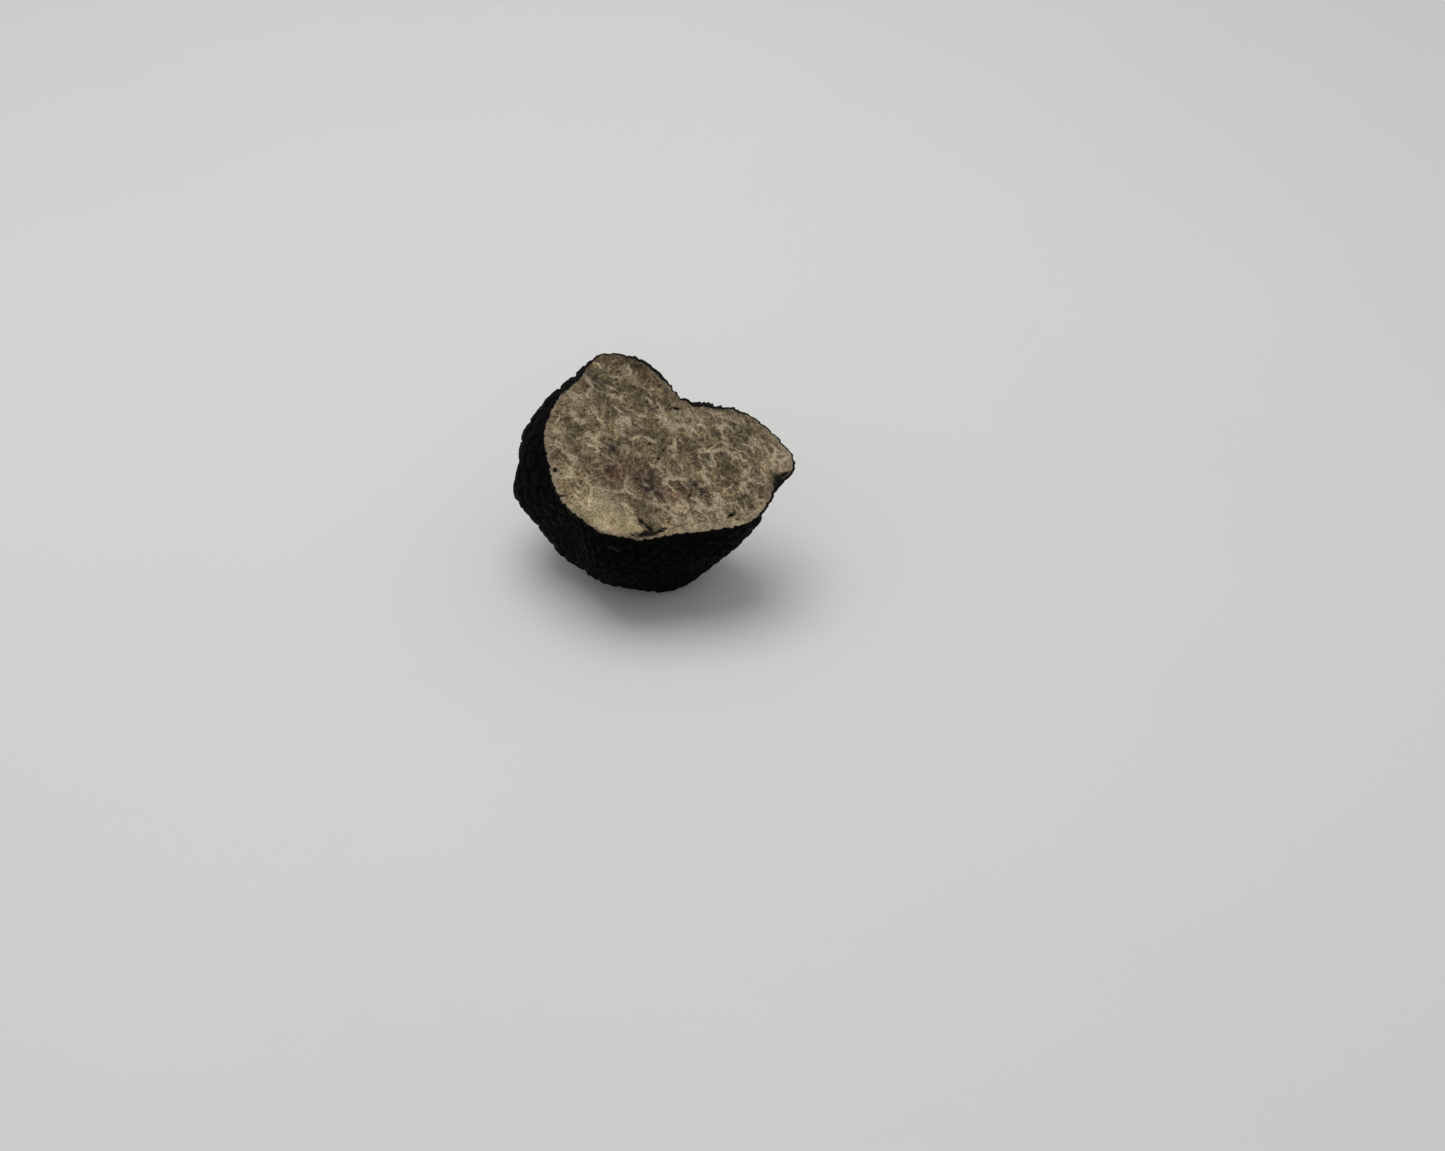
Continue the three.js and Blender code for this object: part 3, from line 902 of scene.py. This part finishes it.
def flesh_material():
    s = Shader("flesh")
    place = cut_place(s)
    colour, veins, blotch = flesh_colour(s, place)

    # Fine grain, then the pale and the brown parts of the edge.
    grain = s.noise(place, FLESH_GRAIN_SIZE, 3.0, 0.7)
    colour = s.scaled(colour, s.ramp(grain, 0.32, 0.64, 0.56, 1.30))
    pale = s.maths("MULTIPLY", s.value("pale_edge"), s.ramp(blotch, 0.3, 0.6, 0.2, 0.8))
    colour = s.mix(pale, colour, reflectance("edge"))
    brown = s.maths("MULTIPLY", s.value("brown_edge"), s.ramp(blotch, 0.35, 0.6, 0.9, 0.5))
    colour = s.mix(brown, colour, reflectance("edge_brown"))
    smudge = s.maths("MULTIPLY", s.value("smudge"), s.ramp(blotch, 0.35, 0.6, 1.0, 0.55))
    colour = s.mix(smudge, colour, reflectance("smudge"))

    # Dark specks, the painted shade in the pits and cracks, and the rind seen edge on with its
    # painted furrow shade.
    specks = s.ramp(s.noise(place, 0.42, 1.0), 0.24, 0.31, 0.75, 0.0)
    colour = s.mix(s.maths("MAXIMUM", s.value("pit_shade"), specks), colour, reflectance("pit_shade"))
    ragged = s.ramp(s.noise(place, 0.45, 2.0), 0.3, 0.7, -0.05, 0.05)
    inside = s.ramp(s.maths("ADD", s.value("inside_mm"), ragged), -0.05, 0.08)
    rind = rind_colour(s, s.millimetres(), s.value("shade"))
    s.set("Base Color", s.mix(inside, rind, colour))

    s.set("Roughness", s.ramp(s.noise(place, 0.7, 2.0), 0.3, 0.7, 0.62, 0.85))
    s.set("Specular IOR Level", 0.15)
    height = s.maths("ADD", s.maths("MULTIPLY", veins, 0.5), s.noise(place, 0.3, 4.0, 0.65))
    s.set("Normal", s.bump(height, 0.08, 0.6))
    return s.material


def floor_material():
    s = Shader("pale_floor")
    place = s.millimetres()
    soft = s.ramp(s.noise(place, 90.0, 2.0), 0.3, 0.7, 0.985, 1.0)
    s.set("Base Color", s.scaled(reflectance("floor", LIGHT_ON_FLOOR)[:3], soft))
    s.set("Roughness", s.ramp(s.noise(place, 6.0, 2.0), 0.3, 0.7, 0.6, 0.7))
    s.set("Specular IOR Level", 0.2)
    return s.material


# Stage, light and camera


FLOOR_HALF_M = 3.0
ROOM_STRENGTH = 0.45
PANEL_PLACE = (-0.05, 0.07, 0.45)
PANEL_TARGET = (-0.02, 0.05, 0.0)
PANEL_SIZE = 0.36
PANEL_WATTS = 0.97


def floor_plane():
    half = FLOOR_HALF_M
    mesh = bpy.data.meshes.new("floor")
    corners = [(-half, -half, 0), (half, -half, 0), (half, half, 0), (-half, half, 0)]
    mesh.from_pydata(corners, [], [(0, 1, 2, 3)])
    mesh.materials.append(floor_material())
    floor = bpy.data.objects.new("floor", mesh)
    bpy.context.scene.collection.objects.link(floor)


def ceiling_panel():
    light = bpy.data.lights.new("ceiling_panel", "AREA")
    light.shape = "DISK"
    light.size = PANEL_SIZE
    light.energy = PANEL_WATTS
    panel = bpy.data.objects.new("ceiling_panel", light)
    panel.location = PANEL_PLACE
    aim = Vector(PANEL_TARGET) - Vector(PANEL_PLACE)
    panel.rotation_euler = aim.to_track_quat("-Z", "Y").to_euler()
    bpy.context.scene.collection.objects.link(panel)


def soft_light():
    world = bpy.data.worlds.new("soft_room")
    world.use_nodes = True
    background = world.node_tree.nodes["Background"]
    background.inputs["Color"].default_value = (1.0, 1.0, 0.99, 1.0)
    background.inputs["Strength"].default_value = ROOM_STRENGTH
    bpy.context.scene.world = world
    ceiling_panel()
    bpy.context.scene.view_settings.view_transform = "Standard"


# The photograph's view: its size, its focal length in pixels, and where the cut's centre falls.
IMAGE_WIDE, IMAGE_HIGH = 1445, 1151
FOCAL_PX = 2098.0
CUT_PIXEL = (657.9, 456.8)
PX_PER_MM = 7.0
ELEVATION = math.radians(42)
SENSOR_MM = 36.0


def photo_camera():
    right = Vector((1, 0, 0))
    up = Vector((0, math.sin(ELEVATION), math.cos(ELEVATION)))
    forward = Vector((0, math.cos(ELEVATION), -math.sin(ELEVATION)))
    off_right = (CUT_PIXEL[0] - IMAGE_WIDE / 2) / FOCAL_PX
    off_up = (IMAGE_HIGH / 2 - CUT_PIXEL[1]) / FOCAL_PX
    ray = forward + off_right * right + off_up * up
    eye = Vector(CUT_CENTRE * MM) - ray * (FOCAL_PX / PX_PER_MM * MM)
    data = bpy.data.cameras.new("camera")
    data.sensor_fit = "HORIZONTAL"
    data.sensor_width = SENSOR_MM
    data.lens = SENSOR_MM * FOCAL_PX / IMAGE_WIDE
    data.clip_start = 0.01
    camera = bpy.data.objects.new("camera", data)
    turn = Matrix((right, up, -forward)).transposed()
    camera.matrix_world = Matrix.Translation(eye) @ turn.to_4x4()
    bpy.context.scene.collection.objects.link(camera)
    bpy.context.scene.camera = camera


photo_camera()
floor_plane()
soft_light()
truffle = truffle_piece()
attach(truffle, "root")
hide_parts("truffle")
